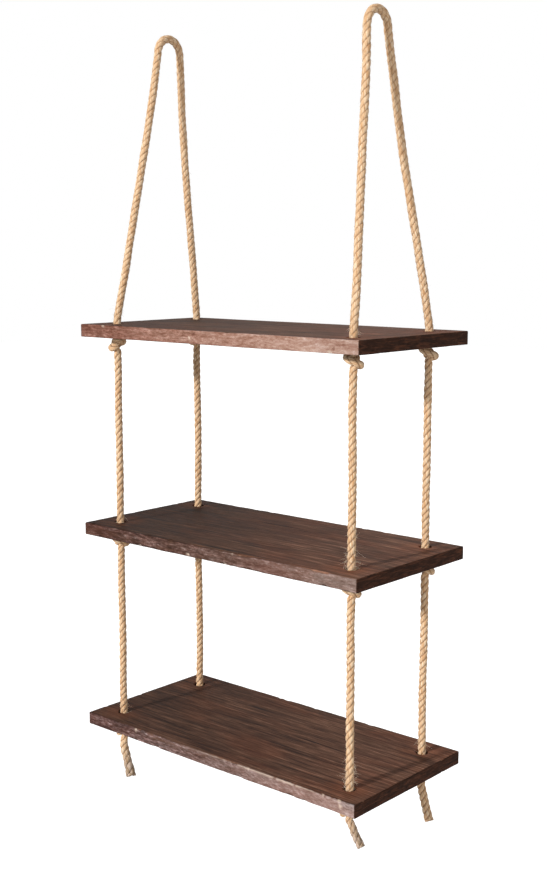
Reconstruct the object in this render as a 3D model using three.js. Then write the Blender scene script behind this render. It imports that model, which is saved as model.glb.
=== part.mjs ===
// A three-tier rope shelf that hangs from two hooks.
//
// Two lengths of laid jute rope each make one side. Each rope goes up from a rear corner, over a
// hook, and down to the front corner. Below the top board both halves run straight down, through a
// hole in every board, and a knot tied under each board carries it.
//
// Millimetres. The origin lies midway between the two places where the loops bear on their hooks.
// X runs along the boards, Y to the rear and Z up.

import * as THREE from "three";

// Driving dimensions

const INCH = 25.4;

const overallHeight = 34 * INCH; // top of the loops to the underside of the bottom board
const boardLength = 17 * INCH;
const boardDepth = 8 * INCH;
const boardThickness = 0.625 * INCH;
const clearHeight = 8.5 * INCH; // free height between a board and the knots above it
const boardEase = 0.8; // worn edge of a board and of its holes

const holeDiameter = 15;
const holeInset = 32; // hole centre from the end and from the long edge

const ropeDiameter = 9.5;
const hookSpacing = 12.5 * INCH;
const crownRadius = 18.5; // centre line of the rope over the hook
const crownHalfAngle = 84 * THREE.MathUtils.DEG2RAD;

const knotRopeDiameter = 5.6; // the rope as the knot squeezes it
const knotRopeGap = 0.8; // room for neighbouring turns of the knot

const meetGap = 0.3; // where two rope pieces or a knot and a board meet
const pivotGap = 0.8; // where a rope bends when the shelf sways
const straightRun = 3; // rope that stays in line with what it meets before it bends

// How fine the round shapes are

const ropeSides = 10;
const knotSides = 8;
const knotSteps = 38;
const holeSides = 16;
const crownSteps = 14;
const legSteps = 16;
const tailSteps = 6;

// Colours

const woodLook = { color: 0x4a3129, roughness: 0.7, metalness: 0 };
const ropeLook = { color: 0xc49a63, roughness: 0.95, metalness: 0 };

// A knot's centre line, from its middle to where the rope leaves it at the bottom. Each point is
// sideways, down and forward, as shares of the spacing of two touching turns. The upper half is
// the same route turned half a turn about the sideways axis.

const knotRouteShares = [
  [0.75, 0, 0],
  [0.7, -0.2, -0.65],
  [0.35, -0.5, -1.2],
  [-0.2, -0.75, -1.35],
  [-0.75, -0.9, -1.15],
  [-1.1, -0.9, -0.65],
  [-1.2, -0.7, -0.1],
  [-0.9, -0.35, 0.35],
  [-0.45, 0.1, 0.5],
  [-0.15, 0.55, 0.35],
  [-0.05, 1, 0.25],
  [0, 1.35, 0.1],
  [0, 1.6, 0],
];
const knotReachShare = 0.9; // furthest the turns go up or down from the middle
const squeezeStartShare = 1; // below this the rope has its knotted thickness
const squeezeEndShare = 1.5; // beyond this it has its full thickness
const sameBendShare = 1.6; // rope this close along its length is in one bend

// A leg of a loop as shares of its sideways spread and of its drop, bowed in near the hook

const legShares = [
  [0.155, 0.2],
  [0.35, 0.4],
  [0.56, 0.6],
  [0.78, 0.8],
];

// Each corner: its side, its row, the turn of its three knots from the top down, and its tail. A
// tail has its length below the knot and how far its end leans along X and Y.

const corners = [
  { name: "left_front", x: -1, y: -1, turns: [110, 345, 40], tail: { length: 50, lean: [6, 5] } },
  { name: "left_rear", x: -1, y: 1, turns: [130, 200, 310], tail: { length: 34, lean: [-3, 4] } },
  { name: "right_front", x: 1, y: -1, turns: [290, 315, 50], tail: { length: 31, lean: [11, 9] } },
  { name: "right_rear", x: 1, y: 1, turns: [315, 285, 120], tail: { length: 48, lean: [8, 6] } },
];

// A loose end as shares of its lean and of its drop below its first straight run

const tailShares = [
  [0, 0],
  [0.45, 0.5],
  [1, 1],
];

// Worked-out sizes and places

const ropeRadius = ropeDiameter / 2;
const knotRopeRadius = knotRopeDiameter / 2;
const turnSpacing = knotRopeDiameter + knotRopeGap;
const knotHeight = 2 * knotReachShare * turnSpacing + knotRopeDiameter;
const boardGap = clearHeight + meetGap + knotHeight;
const boardPitch = boardGap + boardThickness;

const loopTopZ = ropeDiameter;
const bottomFaceZ = loopTopZ - overallHeight + boardThickness;
const tiers = [
  { name: "top", faceZ: bottomFaceZ + 2 * boardPitch },
  { name: "middle", faceZ: bottomFaceZ + boardPitch },
  { name: "bottom", faceZ: bottomFaceZ },
];

const holeX = boardLength / 2 - holeInset;
const holeY = boardDepth / 2 - holeInset;
const crownX = hookSpacing / 2;
const crownCentreZ = ropeRadius - crownRadius;

const knotCentreDrop = meetGap + knotHeight / 2; // from a board's underside
const knotEndShare = knotRouteShares.at(-1)[1];
const knotEndDrop = knotCentreDrop + knotEndShare * turnSpacing + straightRun;

const wood = new THREE.MeshStandardMaterial(woodLook);
const rope = new THREE.MeshStandardMaterial(ropeLook);

// Names a mesh and gives it its geometry and material

function makePiece(name, geometry, material) {
  const mesh = new THREE.Mesh(geometry, material);
  mesh.name = name;
  return mesh;
}

// A regular outline of the rope's section

function ropeSection() {
  const outline = [];
  for (let side = 0; side < ropeSides; side += 1) {
    const angle = (2 * Math.PI * side) / ropeSides;
    outline.push(new THREE.Vector2(ropeRadius * Math.cos(angle), ropeRadius * Math.sin(angle)));
  }
  return new THREE.Shape(outline);
}

// Rope of full thickness along a curve

function ropeAlong(curve, steps) {
  return new THREE.ExtrudeGeometry(ropeSection(), { steps, extrudePath: curve, bevelEnabled: false });
}

// Straight upright rope from its own origin down

function uprightRope(length) {
  const geometry = new THREE.ExtrudeGeometry(ropeSection(), { depth: length, bevelEnabled: false });
  return geometry.translate(0, 0, -length);
}

// A closed tube through a curve whose radius changes from ring to ring

function taperedTube(curve, steps, sides, radiusAt) {
  const positions = [];
  const indices = [];
  const normal = new THREE.Vector3(1, 0, 0);
  for (let step = 0; step <= steps; step += 1) {
    const centre = curve.getPointAt(step / steps);
    const tangent = curve.getTangentAt(step / steps);
    normal.addScaledVector(tangent, -normal.dot(tangent)).normalize();
    const binormal = new THREE.Vector3().crossVectors(tangent, normal);
    const radius = radiusAt(centre);
    for (let side = 0; side < sides; side += 1) {
      const angle = (2 * Math.PI * side) / sides;
      const point = centre.clone();
      point.addScaledVector(normal, radius * Math.cos(angle));
      point.addScaledVector(binormal, radius * Math.sin(angle));
      positions.push(...point.toArray());
    }
  }
  for (let step = 0; step < steps; step += 1) {
    for (let side = 0; side < sides; side += 1) {
      const next = (side + 1) % sides;
      const low = step * sides;
      const high = low + sides;
      indices.push(low + side, low + next, high + next);
      indices.push(low + side, high + next, high + side);
    }
  }
  const lastRing = steps * sides;
  for (let side = 1; side < sides - 1; side += 1) {
    indices.push(0, side + 1, side);
    indices.push(lastRing, lastRing + side, lastRing + side + 1);
  }
  const geometry = new THREE.BufferGeometry();
  geometry.setAttribute("position", new THREE.Float32BufferAttribute(positions, 3));
  geometry.setIndex(indices);
  geometry.computeVertexNormals();
  return geometry;
}

// The knot's centre line from the top face of its board down, about the middle of the knot

function knotCurve() {
  const toPoint = ([aside, down, forward]) =>
    new THREE.Vector3(aside, forward, -down).multiplyScalar(turnSpacing);
  const lower = knotRouteShares.map(toPoint);
  const upper = lower.slice(1).map((point) => new THREE.Vector3(point.x, -point.y, -point.z));
  const neckTop = new THREE.Vector3(0, 0, boardThickness + knotCentreDrop);
  const neckFoot = new THREE.Vector3(0, 0, neckTop.z - straightRun);
  const end = new THREE.Vector3(0, 0, knotCentreDrop - knotEndDrop);
  return new THREE.CatmullRomCurve3([neckTop, neckFoot, ...upper.reverse(), ...lower, end]);
}

// The rope is squeezed inside the knot and swells to its full thickness above and below it

function knotRadiusAt(point) {
  const start = squeezeStartShare * turnSpacing;
  const end = squeezeEndShare * turnSpacing;
  const swell = THREE.MathUtils.smoothstep(Math.abs(point.z), start, end);
  return THREE.MathUtils.lerp(knotRopeRadius, ropeRadius, swell);
}

// Least gap between turns of the knot that are more than a bend apart along the rope

function knotSelfGap(curve) {
  const samples = 400;
  const points = curve.getSpacedPoints(samples);
  const apart = Math.ceil((samples * sameBendShare * turnSpacing) / curve.getLength());
  let least = Infinity;
  for (let first = 0; first <= samples; first += 1) {
    for (let second = first + apart; second <= samples; second += 1) {
      const reach = knotRadiusAt(points[first]) + knotRadiusAt(points[second]);
      least = Math.min(least, points[first].distanceTo(points[second]) - reach);
    }
  }
  return least;
}

// A board with its four rope holes, its underside at its own origin

function boardGeometry() {
  const halfLength = boardLength / 2;
  const halfDepth = boardDepth / 2;
  const outline = new THREE.Shape([
    new THREE.Vector2(-halfLength, -halfDepth),
    new THREE.Vector2(halfLength, -halfDepth),
    new THREE.Vector2(halfLength, halfDepth),
    new THREE.Vector2(-halfLength, halfDepth),
  ]);
  for (const corner of corners) {
    const hole = [];
    for (let side = 0; side < holeSides; side += 1) {
      const angle = (-2 * Math.PI * side) / holeSides;
      hole.push(new THREE.Vector2(
        corner.x * holeX + (holeDiameter / 2) * Math.cos(angle),
        corner.y * holeY + (holeDiameter / 2) * Math.sin(angle),
      ));
    }
    outline.holes.push(new THREE.Path(hole));
  }
  const geometry = new THREE.ExtrudeGeometry(outline, {
    depth: boardThickness - 2 * boardEase,
    bevelThickness: boardEase,
    bevelSize: boardEase,
    bevelOffset: -boardEase,
    bevelSegments: 1,
  });
  return geometry.translate(0, 0, boardEase);
}

// The rope's centre line over one hook, front to rear

function crownCurve() {
  const points = [];
  for (let step = 0; step <= crownSteps; step += 1) {
    const angle = crownHalfAngle * ((2 * step) / crownSteps - 1);
    points.push(new THREE.Vector3(0, crownRadius * Math.sin(angle), crownRadius * Math.cos(angle)));
  }
  return new THREE.CatmullRomCurve3(points);
}

// The centre line of one leg, from the end of the crown down to the top board's hole

function legCurve(corner) {
  const along = new THREE.Vector3(
    0,
    corner.y * Math.cos(crownHalfAngle),
    -Math.sin(crownHalfAngle),
  );
  const crownEnd = new THREE.Vector3(
    corner.x * crownX,
    corner.y * crownRadius * Math.sin(crownHalfAngle),
    crownCentreZ + crownRadius * Math.cos(crownHalfAngle),
  );
  const start = crownEnd.clone().addScaledVector(along, pivotGap);
  const bendIn = start.clone().addScaledVector(along, straightRun);
  const end = new THREE.Vector3(corner.x * holeX, corner.y * holeY, tiers[0].faceZ + pivotGap);
  const bendOut = end.clone().setZ(end.z + straightRun);
  const middle = legShares.map(([spread, drop]) => new THREE.Vector3(
    THREE.MathUtils.lerp(bendIn.x, bendOut.x, drop),
    THREE.MathUtils.lerp(bendIn.y, bendOut.y, spread),
    THREE.MathUtils.lerp(bendIn.z, bendOut.z, drop),
  ));
  return new THREE.CatmullRomCurve3([start, bendIn, ...middle, bendOut, end]);
}

// The centre line of a loose end below a bottom knot, about the place where it leaves the knot

function tailCurve({ length, lean }) {
  const [leanX, leanY] = lean;
  const points = tailShares.map(([side, drop]) => new THREE.Vector3(
    leanX * side,
    leanY * side,
    THREE.MathUtils.lerp(-straightRun, -length, drop),
  ));
  return new THREE.CatmullRomCurve3([new THREE.Vector3(0, 0, 0), ...points]);
}

// The assembly

const shelf = new THREE.Group();

for (const tier of tiers) {
  const board = makePiece(`${tier.name}_board`, boardGeometry(), wood);
  board.position.z = tier.faceZ - boardThickness;
  shelf.add(board);
}

for (const side of [{ name: "left", x: -1 }, { name: "right", x: 1 }]) {
  const crown = makePiece(`${side.name}_loop_crown`, ropeAlong(crownCurve(), crownSteps), rope);
  crown.position.set(side.x * crownX, 0, crownCentreZ);
  shelf.add(crown);
}

const knotLine = knotCurve();
console.log(`least gap between the turns of a knot: ${knotSelfGap(knotLine).toFixed(2)} mm`);

for (const corner of corners) {
  const leg = makePiece(`${corner.name}_loop_leg`, ropeAlong(legCurve(corner), legSteps), rope);
  shelf.add(leg);

  const column = new THREE.Group();
  column.position.set(corner.x * holeX, corner.y * holeY, 0);
  shelf.add(column);

  tiers.forEach((tier, index) => {
    const undersideZ = tier.faceZ - boardThickness;
    const knotTube = taperedTube(knotLine, knotSteps, knotSides, knotRadiusAt);
    const knot = makePiece(`${tier.name}_${corner.name}_knot`, knotTube, rope);
    knot.position.z = undersideZ - knotCentreDrop;
    knot.rotation.z = corner.turns[index] * THREE.MathUtils.DEG2RAD;
    column.add(knot);

    const ropeTopZ = undersideZ - knotEndDrop - meetGap;
    if (index < tiers.length - 1) {
      const length = ropeTopZ - tiers[index + 1].faceZ - meetGap;
      const stretchName = `${index === 0 ? "upper" : "lower"}_${corner.name}_rope`;
      const stretch = makePiece(stretchName, uprightRope(length), rope);
      stretch.position.z = ropeTopZ;
      column.add(stretch);
    } else {
      const tail = makePiece(`${corner.name}_tail`, ropeAlong(tailCurve(corner.tail), tailSteps), rope);
      tail.position.z = ropeTopZ;
      column.add(tail);
    }
  });
}

export default shelf;
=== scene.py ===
import random
from collections import namedtuple
from math import cos, dist, hypot, pi, radians, sin, sqrt
from types import SimpleNamespace

import bpy
import numpy as np
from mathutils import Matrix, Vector, geometry, noise


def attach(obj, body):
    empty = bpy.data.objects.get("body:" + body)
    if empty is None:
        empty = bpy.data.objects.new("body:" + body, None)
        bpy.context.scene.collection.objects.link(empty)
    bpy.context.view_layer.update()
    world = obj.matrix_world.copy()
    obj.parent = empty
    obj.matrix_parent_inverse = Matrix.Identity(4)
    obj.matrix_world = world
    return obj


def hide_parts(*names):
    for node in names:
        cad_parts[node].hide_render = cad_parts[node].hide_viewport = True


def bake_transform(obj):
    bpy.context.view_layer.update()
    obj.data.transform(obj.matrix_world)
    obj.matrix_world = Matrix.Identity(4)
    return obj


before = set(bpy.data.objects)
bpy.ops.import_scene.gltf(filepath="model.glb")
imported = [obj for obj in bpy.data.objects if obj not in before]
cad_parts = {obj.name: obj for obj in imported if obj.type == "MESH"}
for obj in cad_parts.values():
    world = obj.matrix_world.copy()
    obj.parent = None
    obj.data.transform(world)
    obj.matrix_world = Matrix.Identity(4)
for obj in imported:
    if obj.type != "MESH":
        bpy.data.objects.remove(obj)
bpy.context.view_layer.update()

MM = 0.001
INCH = 25.4

# Sizes and places that the CAD source has, in millimetres in the shared frame

OVERALL_HEIGHT = 34 * INCH
BOARD_LENGTH = 17 * INCH
BOARD_DEPTH = 8 * INCH
THICKNESS = 0.625 * INCH
CLEAR_HEIGHT = 8.5 * INCH
HOLE_RADIUS = 7.5
HOLE_INSET = 32
ROPE_RADIUS = 4.75
KNOT_ROPE_DIAMETER = 5.6
TURN_SPACING = 6.4
KNOT_REACH_SHARE = 0.9
MEET_GAP = 0.3
PIVOT_GAP = 0.8
STRAIGHT_RUN = 3
CROWN_X = 12.5 * INCH / 2
CROWN_RADIUS = 18.5
CROWN_HALF_ANGLE = radians(84)
CROWN_CENTRE_Z = ROPE_RADIUS - CROWN_RADIUS
KNOT_HEIGHT = 2 * KNOT_REACH_SHARE * TURN_SPACING + KNOT_ROPE_DIAMETER
PITCH = CLEAR_HEIGHT + MEET_GAP + KNOT_HEIGHT + THICKNESS
BOTTOM_FACE_Z = 2 * ROPE_RADIUS - OVERALL_HEIGHT + THICKNESS
HALF_LENGTH = BOARD_LENGTH / 2
HALF_DEPTH = BOARD_DEPTH / 2
HOLE_X = HALF_LENGTH - HOLE_INSET
HOLE_Y = HALF_DEPTH - HOLE_INSET
KNOT_CENTRE_DROP = MEET_GAP + KNOT_HEIGHT / 2

TIERS = {
    "top": BOTTOM_FACE_Z + 2 * PITCH,
    "middle": BOTTOM_FACE_Z + PITCH,
    "bottom": BOTTOM_FACE_Z,
}
KNOT_ROUTE = [
    (0.75, 0, 0), (0.7, -0.2, -0.65), (0.35, -0.5, -1.2), (-0.2, -0.75, -1.35),
    (-0.75, -0.9, -1.15), (-1.1, -0.9, -0.65), (-1.2, -0.7, -0.1), (-0.9, -0.35, 0.35),
    (-0.45, 0.1, 0.5), (-0.15, 0.55, 0.35), (-0.05, 1, 0.25), (0, 1.35, 0.1), (0, 1.6, 0),
]
LEG_SHARES = [(0.155, 0.2), (0.35, 0.4), (0.56, 0.6), (0.78, 0.8)]
TAIL_SHARES = [(0, 0), (0.45, 0.5), (1, 1)]

# A corner's side and row, the turns of its knots from the top down, and its loose end: length
# below the knot, lean of the tip and the share of it that comes early, how far the cut opens
# (flare), and how much it greys (old) and thickens (swollen). Fibres are how many more stand off
# above the two lower boards, and rub is how far the boards are rubbed there.
CORNERS = {
    "left_front": dict(
        x=-1, y=-1, turns=(110, 345, 40), tail=50, lean=(6, 5), early=-0.12,
        flare=0.8, old=1.0, swollen=0.17, fibres=(16, 24), long_fibres=0, rub=0.45),
    "left_rear": dict(
        x=-1, y=1, turns=(130, 200, 310), tail=34, lean=(-3, 4), early=0,
        flare=0.5, old=0.6, swollen=0.06, fibres=(8, 10), long_fibres=0, rub=0.35),
    "right_front": dict(
        x=1, y=-1, turns=(290, 315, 50), tail=31, lean=(11, 9), early=0.15,
        flare=0.12, old=1.0, swollen=-0.03, fibres=(110, 100), long_fibres=40, rub=1.0),
    "right_rear": dict(
        x=1, y=1, turns=(315, 285, 120), tail=48, lean=(8, 6), early=0,
        flare=0.2, old=0.1, swollen=0.12, fibres=(20, 34), long_fibres=0, rub=0.7),
}

# The camera, where the photograph was taken from

CAMERA_PLACE = (1.019, -1.151, -0.246)
CAMERA_AZIMUTH = radians(41.2)
CAMERA_HEIGHT = radians(8.44)
CAMERA_LENS = 53.2


def linked(name, data):
    made = bpy.data.objects.new(name, data)
    bpy.context.scene.collection.objects.link(made)
    return made


def direction(azimuth, height):
    """The way from the shelf to what stands at an azimuth from the front and a height."""
    level = cos(height)
    return Vector((sin(azimuth) * level, -cos(azimuth) * level, sin(height)))


def turn_along(made, way):
    made.rotation_euler = way.to_track_quat("-Z", "Y").to_euler()


def make_camera():
    data = bpy.data.cameras.new("camera")
    data.lens = CAMERA_LENS
    data.clip_end = 50
    camera = linked("camera", data)
    camera.location = CAMERA_PLACE
    turn_along(camera, -direction(CAMERA_AZIMUTH, CAMERA_HEIGHT))
    bpy.context.scene.camera = camera


make_camera()

# Material nodes


def linear(red, green, blue):
    """A screen colour as the linear colour that nodes take."""
    def one(value):
        value /= 255
        return value / 12.92 if value <= 0.04045 else ((value + 0.055) / 1.055) ** 2.4
    return (one(red), one(green), one(blue), 1)


class Nodes:
    def __init__(self, tree):
        self.tree = tree
        self.shader = tree.nodes.get("Principled BSDF")

    def add(self, kind, inputs=None, **settings):
        node = self.tree.nodes.new(kind)
        for key, value in settings.items():
            setattr(node, key, value)
        return self.fill(node, inputs or {})

    def fill(self, node, inputs):
        """Gives inputs of a node their values or links."""
        for key, value in inputs.items():
            if isinstance(value, bpy.types.NodeSocket):
                self.tree.links.new(value, node.inputs[key])
            else:
                node.inputs[key].default_value = value
        return node

    def texture(self, place, scale, detail=4, roughness=0.55, distortion=0.0, shift=(0, 0, 0)):
        """Noise that changes this often along each axis of a place."""
        moved = self.add(
            "ShaderNodeMapping", {"Vector": place, "Scale": scale, "Location": shift})
        return self.add("ShaderNodeTexNoise", {
            "Vector": moved.outputs["Vector"], "Scale": 1, "Detail": detail,
            "Roughness": roughness, "Distortion": distortion,
        }).outputs["Fac"]

    def textures(self, place, table):
        return SimpleNamespace(**{
            name: self.texture(place, *values) for name, values in table.items()})

    def ramp(self, factor, stops):
        """Colours or shades by a factor. Each stop has its place and a screen colour or a shade."""
        node = self.add("ShaderNodeValToRGB", {"Fac": factor})
        elements = node.color_ramp.elements
        while len(elements) < len(stops):
            elements.new(0.5)
        for element, (position, colour) in zip(elements, stops):
            element.position = position
            shade = not isinstance(colour, tuple)
            element.color = (colour,) * 3 + (1,) if shade else linear(*colour)
        return node.outputs["Color"]

    def mix(self, factor, first, second):
        inputs = {0: factor, 6: first, 7: second}
        return self.add("ShaderNodeMix", inputs, data_type="RGBA", blend_type="MIX").outputs[2]

    def times(self, colour, factor):
        inputs = {0: colour, 1: factor}
        return self.add("ShaderNodeVectorMath", inputs, operation="MULTIPLY").outputs[0]

    def math(self, operation, first, second=0.0, clamp=False):
        settings = dict(operation=operation, use_clamp=clamp)
        return self.add("ShaderNodeMath", {0: first, 1: second}, **settings).outputs[0]

    def weighted(self, *parts):
        """The sum of some values, each times its weight."""
        total, *more = [self.math("MULTIPLY", value, weight) for value, weight in parts]
        for part in more:
            total = self.math("ADD", total, part)
        return total

    def span(self, value, low, high, to_low=0.0, to_high=1.0):
        """A value between low and high as one between to_low and to_high."""
        return self.add("ShaderNodeMapRange", {
            "Value": value, "From Min": low, "From Max": high,
            "To Min": to_low, "To Max": to_high,
        }, clamp=True).outputs["Result"]

    def attribute(self, name, output="Fac"):
        return self.add("ShaderNodeAttribute", attribute_name=name).outputs[output]

    def bump(self, height, strength, distance, normal=None):
        inputs = {"Height": height, "Strength": strength, "Distance": distance}
        if normal is not None:
            inputs["Normal"] = normal
        return self.add("ShaderNodeBump", inputs).outputs["Normal"]


def new_material(name):
    material = bpy.data.materials.new(name)
    material.use_nodes = True
    return material, Nodes(material.node_tree)


# The wood

# A texture's changes along, across and up a board, detail, roughness, distortion and shift
WOOD_TEXTURES = {
    "figure": ((3.5, 24, 22), 4, 0.6, 1.0),
    "bands": ((7, 135, 105), 6, 0.72, 0.5, (7, 0, 0)),
    "streaks": ((14, 265, 215), 6, 0.75, 0.3),
    "pores": ((34, 560, 480), 4, 0.7, 0.2),
    "cracks": ((5, 190, 130), 4, 0.7, 0.4, (2, 5, 0)),
    "patches": ((6, 15, 13), 3, 0.5, 0.6, (3.1, 0, 0)),
    "mottle": ((24, 70, 150), 6, 0.7, 0.8),
    "speckle": ((190, 380, 560), 4, 0.7),
    "splinters": ((62, 200, 380), 4, 0.66, 0.5, (0, 3, 1)),
    "pith": ((200, 45, 330), 5, 0.66, 0.9),
}

# Colours and shades by the value of a texture
STAINED_WOOD = [
    (0.39, (50, 33, 26)), (0.46, (82, 56, 44)),
    (0.52, (102, 73, 59)), (0.6, (141, 105, 86)),
]
RUBBED_DARK = [
    (0.41, (58, 38, 34)), (0.47, (92, 66, 59)), (0.53, (122, 94, 88)),
    (0.59, (160, 134, 128)), (0.64, (214, 194, 186)),
]
RUBBED_LIGHT = [
    (0.40, (138, 98, 82)), (0.47, (164, 128, 110)),
    (0.53, (180, 147, 131)), (0.61, (204, 178, 164)),
]
SPLINTER_SHADES = [(0.4, 0.42), (0.48, 0.92), (0.56, 1.0), (0.62, 1.6)]
END_GRAIN = [(0.34, (35, 20, 13)), (0.5, (56, 34, 24)), (0.68, (92, 57, 41))]
REDDISH_PATCH = linear(118, 68, 48)
BLUSH_PATCH = linear(124, 78, 66)
WEATHERED = linear(128, 120, 117)
BARE_CHIP = linear(214, 192, 174)
RUBBED_RING = linear(146, 88, 60)


def stained_wood(n, t, grain):
    body = n.ramp(grain, STAINED_WOOD)
    reddened = n.mix(n.span(t.patches, 0.48, 0.66, 0, 0.32), body, REDDISH_PATCH)
    figured = n.times(reddened, n.span(t.figure, 0.36, 0.6, 0.82, 1.1))
    porous = n.times(figured, n.span(t.pores, 0.38, 0.6, 0.6, 1.18))
    cracked = n.times(porous, n.span(t.cracks, 0.58, 0.64, 1, 0.45))
    # The tone is partly painted light on the top face: painted shade toward the left end, painted
    # sheen toward the right
    return n.times(cracked, n.attribute("tone_and_painted_light"))


def rubbed_wood(n, t, mingled):
    split = n.times(n.ramp(mingled, RUBBED_DARK), n.ramp(t.splinters, SPLINTER_SHADES))
    rubbed = n.mix(n.attribute("pale"), split, n.ramp(mingled, RUBBED_LIGHT))
    blush = n.mix(n.span(t.patches, 0.5, 0.66, 0, 0.32), rubbed, BLUSH_PATCH)
    weathering = n.math("MULTIPLY", n.span(t.patches, 0.4, 0.54, 1, 0.25), n.attribute("grey"))
    greyed = n.mix(weathering, blush, WEATHERED)
    return n.times(greyed, n.attribute("tint", "Vector"))


def wood_material():
    material, n = new_material("dark_stained_wood")
    t = n.textures(n.add("ShaderNodeTexCoord").outputs["Object"], WOOD_TEXTURES)
    grain = n.weighted((t.bands, 0.34), (t.streaks, 0.66))
    mingled = n.weighted((t.mottle, 0.36), (grain, 0.2), (t.speckle, 0.44))

    wear = n.attribute("wear")
    broken = n.math("ADD", wear, n.math("MULTIPLY", n.math("SUBTRACT", mingled, 0.5), 1.8))
    worn = n.mix(
        n.span(broken, 0.2, 0.7), stained_wood(n, t, grain), rubbed_wood(n, t, mingled))

    # Pale bare chips with a pale line along the upper front rim, a rubbed ring round the holes, and
    # dark end grain
    chipped = n.mix(n.attribute("chip"), worn, BARE_CHIP)
    rub = n.math("MULTIPLY", n.attribute("rub"), n.span(grain, 0.4, 0.58))
    ringed = n.mix(n.math("MULTIPLY", rub, 0.6), chipped, RUBBED_RING)
    colour = n.mix(n.attribute("end"), ringed, n.ramp(t.pith, END_GRAIN))

    dull = n.math(
        "ADD", n.span(grain, 0.38, 0.62, 0.58, 0.74), n.math("MULTIPLY", wear, 0.12), clamp=True)
    deep = n.bump(n.math("ADD", t.streaks, n.math("MULTIPLY", t.bands, 0.7)), 0.5, 0.0006)
    rough = n.bump(n.math("MULTIPLY", t.speckle, wear), 0.8, 0.001, deep)
    n.fill(n.shader, {
        "Base Color": colour, "Roughness": dull, "Specular IOR Level": 0.05,
        "Normal": n.bump(t.pores, 0.4, 0.0002, rough),
    })
    return material


# The ropes and their fibres, whose textures run along the strands

ROPE_TEXTURES = {
    "yarns": ((0.85, 0.85, 0.06), 3, 0.55),
    "hairs": ((3.4, 3.4, 0.14), 4, 0.65),
    "spots": ((0.3, 0.3, 0.045), 3, 0.6, 0.0, (4, 1, 0)),
}
FUZZ_TEXTURES = {"shade": ((0.9, 0.9, 0.05), 2)}
JUTE = [
    (0.37, (168, 122, 80)), (0.45, (209, 167, 125)),
    (0.53, (231, 199, 161)), (0.62, (243, 224, 196)),
]
LOOSE_JUTE = [(0.35, (214, 186, 150)), (0.65, (244, 230, 208))]
WARM_SPOT = linear(204, 150, 98)
# Painted shade: the colour that the rope darkens toward in the grooves between strands
GROOVE_PAINTED_SHADE = linear(140, 94, 60)
DARK_STAIN = linear(122, 100, 78)
PALE_STAIN = linear(196, 178, 164)


def rope_material():
    material, n = new_material("jute_rope")
    t = n.textures(n.attribute("fibre", "Vector"), ROPE_TEXTURES)
    both = n.weighted((t.yarns, 0.55), (t.hairs, 0.45))
    warm = n.mix(n.span(t.spots, 0.5, 0.7, 0, 0.6), n.ramp(both, JUTE), WARM_SPOT)
    # Painted shade: the colour is darker where a point lies deep in a groove between strands
    shaded = n.mix(n.span(n.attribute("depth"), 0, 1.0, 0.86, 0), warm, GROOVE_PAINTED_SHADE)
    stained = n.mix(n.span(t.spots, 0.42, 0.56), DARK_STAIN, PALE_STAIN)
    aged = n.mix(n.math("MULTIPLY", n.attribute("age"), 0.75), shaded, stained)
    n.fill(n.shader, {
        "Base Color": aged, "Roughness": n.span(t.hairs, 0.3, 0.7, 0.78, 0.94),
        "Specular IOR Level": 0.25, "Sheen Weight": 0.12, "Sheen Roughness": 0.5,
        "Normal": n.bump(both, 0.6, 0.0004),
    })
    return material


def fuzz_material():
    material, n = new_material("loose_fibres")
    t = n.textures(n.attribute("fibre", "Vector"), FUZZ_TEXTURES)
    n.fill(n.shader, {
        "Base Color": n.ramp(t.shade, LOOSE_JUTE), "Roughness": 0.7, "Sheen Weight": 0.3})
    return material


WOOD = wood_material()
ROPE = rope_material()
FUZZ = fuzz_material()

# Meshes and lines


def unit(vectors):
    return vectors / np.linalg.norm(vectors, axis=-1, keepdims=True)


def smoothstep(value, low, high):
    share = np.clip((value - low) / (high - low), 0, 1)
    return share * share * (3 - 2 * share)


def near_edge(place, edge, begins, full):
    """0 until a place is as near the edge as begins, then growing to 1 at full."""
    return smoothstep(place, edge - begins, edge - full)


def new_object(name, vertices, faces, material, attributes):
    """A smooth mesh object from vertices in millimetres, with values on its vertices."""
    mesh = bpy.data.meshes.new(name)
    mesh.from_pydata((np.asarray(vertices) * MM).tolist(), [], faces)
    mesh.materials.append(material)
    for key, values in attributes.items():
        values = np.asarray(values, np.float32)
        kind, field = ("FLOAT_VECTOR", "vector") if values.ndim == 2 else ("FLOAT", "value")
        mesh.attributes.new(key, kind, "POINT").data.foreach_set(field, values.ravel())
    mesh.polygons.foreach_set("use_smooth", [True] * len(mesh.polygons))
    mesh.validate()
    return linked(name, mesh)


def ring_faces(first, rings, count):
    """The faces between rings of points that start at first."""
    made = []
    for a in range(first, first + (rings - 1) * count, count):
        for side in range(count):
            other = (side + 1) % count
            made.append((a + side, a + other, a + count + other, a + count + side))
    return made


FINE_STEP = 0.5  # between two points of a line before its rings are set
RING_STEP = 1.5  # between two rings of a rope


def curve_through(points):
    """The CAD source's curve through its points, as close points."""
    p = np.array(points, float)
    p = np.vstack([2 * p[0] - p[1], p, 2 * p[-1] - p[-2]])
    made = []
    for p0, p1, p2, p3 in zip(p[:-3], p[1:-2], p[2:-1], p[3:]):
        d0, d1, d2 = (sqrt(np.linalg.norm(b - a)) for a, b in ((p0, p1), (p1, p2), (p2, p3)))
        m1 = ((p1 - p0) / d0 - (p2 - p0) / (d0 + d1) + (p2 - p1) / d1) * d1
        m2 = ((p2 - p1) / d1 - (p3 - p1) / (d1 + d2) + (p3 - p2) / d2) * d1
        count = max(2, round(np.linalg.norm(p2 - p1) / FINE_STEP))
        t = np.arange(count)[:, None] / count
        made.append(
            p1 + m1 * t + (3 * p2 - 3 * p1 - 2 * m1 - m2) * t**2
            + (2 * p1 - 2 * p2 + m1 + m2) * t**3
        )
    return np.vstack([*made, p[-2][None]])


def lengths_along(line):
    return np.concatenate([[0], np.cumsum(np.linalg.norm(np.diff(line, axis=0), axis=1))])


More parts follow.
